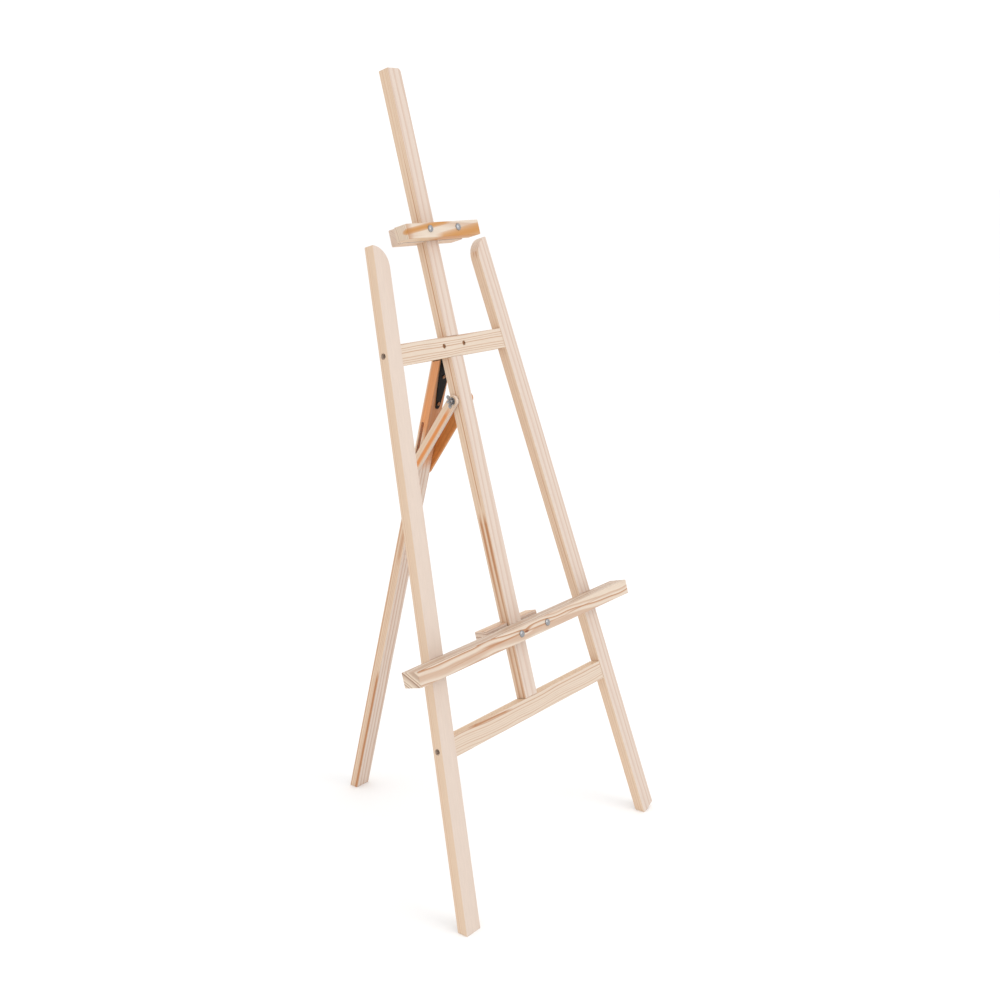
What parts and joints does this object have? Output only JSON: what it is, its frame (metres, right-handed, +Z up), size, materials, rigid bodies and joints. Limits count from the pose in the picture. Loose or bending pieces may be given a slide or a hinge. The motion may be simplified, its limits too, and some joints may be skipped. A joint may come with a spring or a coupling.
{
  "type": "wooden artist easel",
  "caption": "Folding wooden A-frame easel with splayed front legs, a hinged and slotted rear leg, a folding stay, and a canvas tray and top holder that slide on a mast.",
  "frame": {"origin": "on the floor, in the middle of the easel's footprint", "axes": "+Z up, the easel faces -Y, X runs across it"},
  "size_m": [0.659, 0.5882, 1.5235],
  "materials": {
    "pine": "planed bare pine, matt",
    "zinc": "bright zinc plated steel",
    "brass": "dulled brass, satin",
    "black_steel": "black japanned steel, satin"
  },
  "bodies": {
    "front_frame": {"left_leg": "pine", "right_leg": "pine", "mast": "pine", "upper_crossbar": "pine", "lower_crossbar": "pine", "hinge_cross_plate": "black_steel", "hinge_mast_screw": "black_steel", "hinge_pin": "black_steel", "stay_clamp_bolt": "zinc", "stay_clamp_washer_left": "zinc", "stay_clamp_washer_right": "zinc", "upper_left_leg_bolt": "black_steel", "upper_left_barrel_nut": "zinc", "upper_right_leg_bolt": "black_steel", "upper_right_barrel_nut": "zinc", "lower_left_leg_bolt": "black_steel", "lower_left_barrel_nut": "zinc", "lower_right_leg_bolt": "black_steel", "lower_right_barrel_nut": "zinc", "mast_foot_screw_left": "zinc", "crossbar_screw_left": "brass", "crossbar_nut_left": "zinc", "mast_foot_screw_right": "zinc", "crossbar_screw_right": "brass", "crossbar_nut_right": "zinc"},
    "rear_leg": {"rear_leg": "pine", "hinge_strap": "black_steel", "strap_screw_top": "brass", "strap_screw_middle": "brass", "strap_screw_tip": "brass"},
    "stay": {"stay_slat_left": "pine", "stay_slat_right": "pine", "stay_pivot_bolt": "zinc", "stay_pivot_nut": "zinc", "stay_pivot_washer_left": "zinc", "stay_pivot_washer_right": "zinc"},
    "stay_wing_nut": {"stay_wing_nut": "zinc"},
    "canvas_tray": {"canvas_tray": "pine", "tray_clamp_bar": "pine", "tray_bolt_left": "zinc", "tray_bolt_right": "zinc", "tray_washer_left": "zinc", "tray_washer_right": "zinc"},
    "tray_wing_nut_left": {"tray_wing_nut_left": "zinc"},
    "tray_wing_nut_right": {"tray_wing_nut_right": "zinc"},
    "top_holder": {"top_holder": "pine", "holder_clamp_bar": "pine", "holder_bolt_left": "zinc", "holder_bolt_right": "zinc", "holder_washer_left": "zinc", "holder_washer_right": "zinc"},
    "holder_wing_nut_left": {"holder_wing_nut_left": "zinc"},
    "holder_wing_nut_right": {"holder_wing_nut_right": "zinc"}
  },
  "joints": [
    {"name": "rear_leg_fold", "type": "hinge", "parent": "front_frame", "child": "rear_leg", "pos_m": [0, 0.00476, 0.97928], "axis": [1, 0, 0], "range_deg": [-25, 0]},
    {"name": "stay_fold", "type": "hinge", "parent": "front_frame", "child": "stay", "pos_m": [0, -0.0278, 0.90725], "axis": [1, 0, 0], "range_deg": [-34.5, 0]},
    {"name": "stay_wing_nut_turn", "type": "hinge", "parent": "front_frame", "child": "stay_wing_nut", "pos_m": [-0.027, -0.0278, 0.90725], "axis": [-1, 0, 0], "continuous": true},
    {"name": "tray_slide", "type": "slide", "parent": "front_frame", "child": "canvas_tray", "axis": [0, 0.2662, 0.9639], "range_m": [-0.115, 0.25]},
    {"name": "holder_slide", "type": "slide", "parent": "front_frame", "child": "top_holder", "axis": [0, 0.2662, 0.9639], "range_m": [-0.17, 0.28]},
    {"name": "tray_wing_nut_left_turn", "type": "hinge", "parent": "canvas_tray", "child": "tray_wing_nut_left", "pos_m": [-0.037, -0.13096, 0.45748], "axis": [0, 0.9639, -0.2662], "continuous": true},
    {"name": "holder_wing_nut_left_turn", "type": "hinge", "parent": "top_holder", "child": "holder_wing_nut_left", "pos_m": [-0.035, 0.07763, 1.21271], "axis": [0, 0.9639, -0.2662], "continuous": true},
    {"name": "tray_wing_nut_right_turn", "type": "hinge", "parent": "canvas_tray", "child": "tray_wing_nut_right", "pos_m": [0.045, -0.13096, 0.45748], "axis": [0, 0.9639, -0.2662], "continuous": true},
    {"name": "holder_wing_nut_right_turn", "type": "hinge", "parent": "top_holder", "child": "holder_wing_nut_right", "pos_m": [0.045, 0.07763, 1.21271], "axis": [0, 0.9639, -0.2662], "continuous": true}
  ],
  "couplings": [
    {"joint": "stay_fold", "follows": "rear_leg_fold", "ratio": 1.38}
  ]
}
